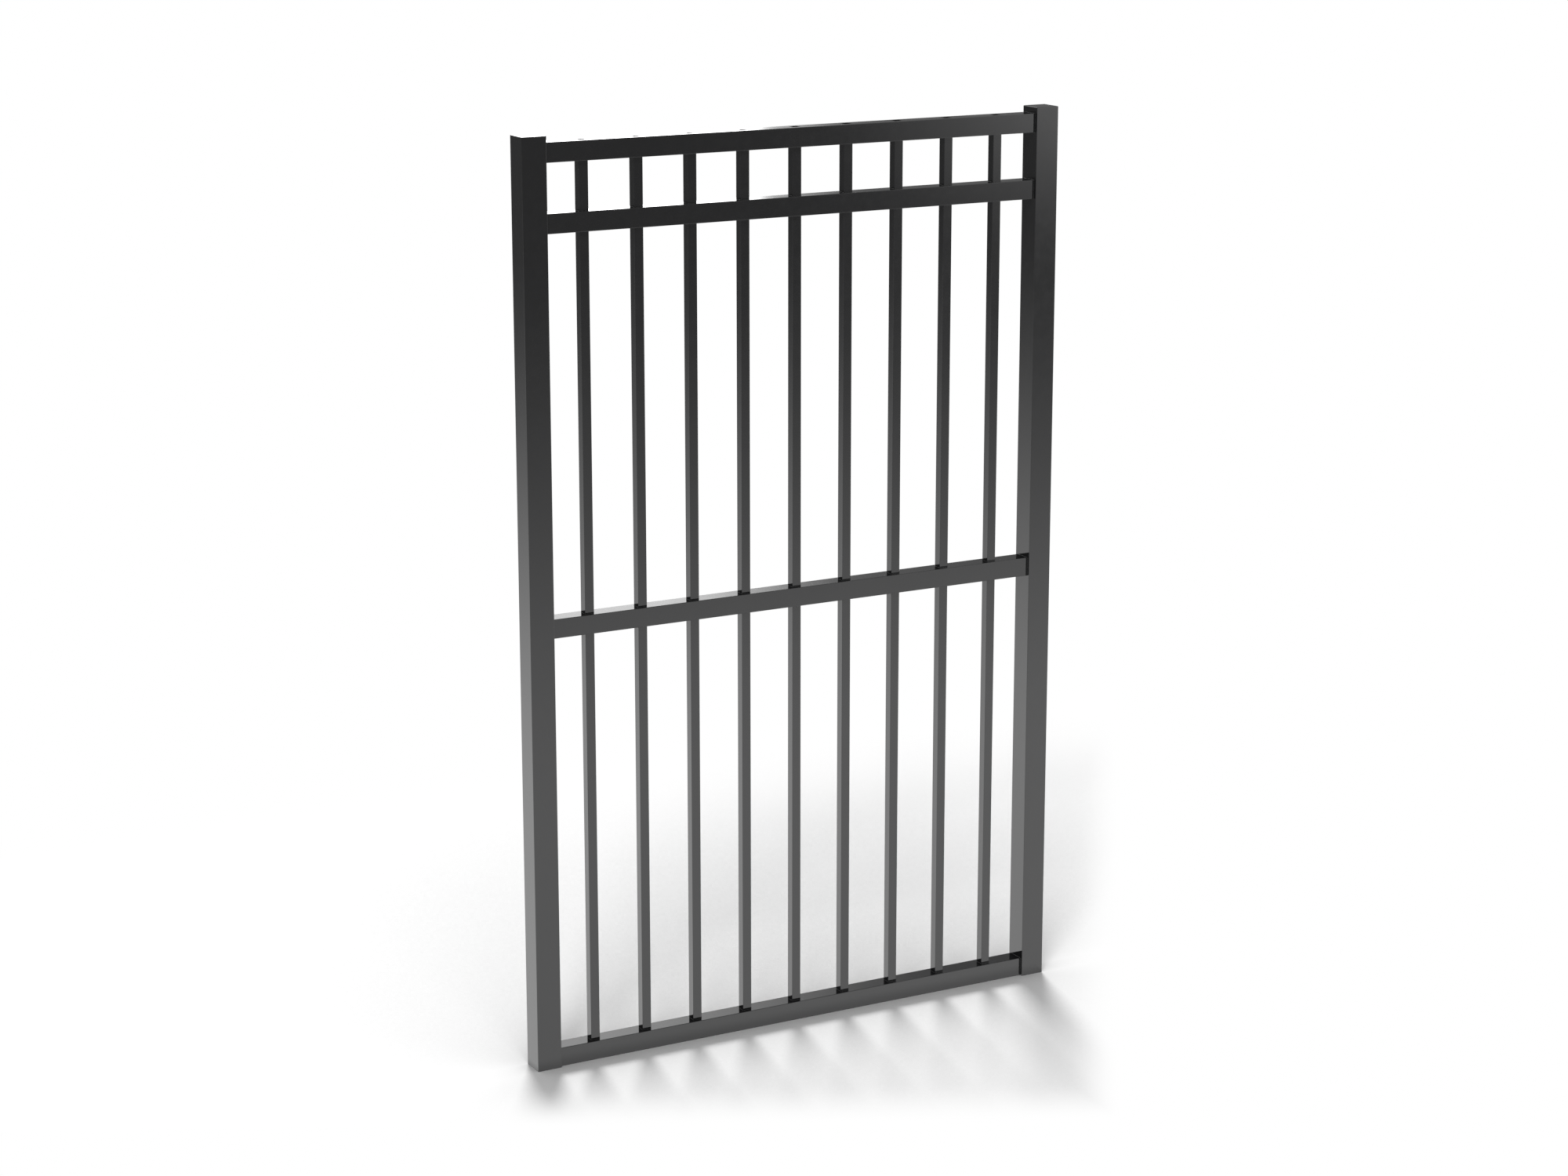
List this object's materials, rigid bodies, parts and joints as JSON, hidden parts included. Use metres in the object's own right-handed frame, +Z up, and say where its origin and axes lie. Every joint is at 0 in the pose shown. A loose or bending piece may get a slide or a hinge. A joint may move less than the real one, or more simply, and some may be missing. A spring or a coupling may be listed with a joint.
{
  "type": "metal fence gate",
  "caption": "Flat-top fence gate leaf of black square tube: capped uprights, rails with a narrow square-paned band at the top, and pickets passing through the rails.",
  "frame": {"origin": "on the outer face of the left, hinge-side upright, mid-depth, at ground level", "axes": "+X along the leaf towards the right upright, +Y from the front to the back, +Z up"},
  "size_m": [1.1811, 0.0508, 1.8415],
  "materials": {
    "tube_powder_coat": "gloss",
    "cap_powder_coat": "gloss"
  },
  "bodies": {
    "root": {"left_upright": "tube_powder_coat", "right_upright": "tube_powder_coat", "top_rail": "tube_powder_coat", "second_rail": "tube_powder_coat", "middle_rail": "tube_powder_coat", "bottom_rail": "tube_powder_coat", "picket_1": "tube_powder_coat", "picket_2": "tube_powder_coat", "picket_3": "tube_powder_coat", "picket_4": "tube_powder_coat", "picket_5": "tube_powder_coat", "picket_6": "tube_powder_coat", "picket_7": "tube_powder_coat", "picket_8": "tube_powder_coat", "picket_9": "tube_powder_coat", "left_cap": "cap_powder_coat", "right_cap": "cap_powder_coat"}
  },
  "joints": []
}
